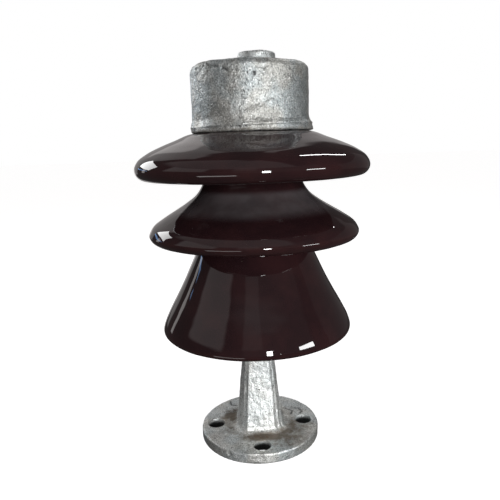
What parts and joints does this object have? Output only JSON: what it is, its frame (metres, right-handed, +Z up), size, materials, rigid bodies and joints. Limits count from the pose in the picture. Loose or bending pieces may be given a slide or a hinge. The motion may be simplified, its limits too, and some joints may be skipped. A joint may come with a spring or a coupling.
{
  "type": "porcelain post insulator",
  "caption": "Cap-and-pin post insulator: brown glazed porcelain sheds and bell between a galvanised cap with a raised boss and a tapered stem on a drilled round flange.",
  "frame": {"origin": "centre of the base flange's underside, under the middle of the object's box", "axes": "+Z up along the insulator's axis, from the flange to the cap; the four bolt holes lie on the X and Y axes; the cap's boss stands 5.5 mm off the axis towards +X"},
  "size_m": [0.1748, 0.1748, 0.3048],
  "materials": {
    "galvanised_iron": "hot-dip galvanised rough casting, mottled grey zinc with bright and dull patches",
    "brown_glaze": "very glossy dark chocolate-brown glaze on porcelain",
    "portland_cement": "matt grey cement mortar",
    "cork": "granulated cork"
  },
  "bodies": {
    "root": {"pedestal": "galvanised_iron", "pin_cement": "portland_cement", "pin_cushion": "cork", "bottom_shell": "brown_glaze", "lower_joint_cement": "portland_cement", "middle_shell": "brown_glaze", "upper_joint_cement": "portland_cement", "top_shell": "brown_glaze", "cap_cement": "portland_cement", "head_cushion": "cork", "cap": "galvanised_iron"}
  },
  "joints": []
}
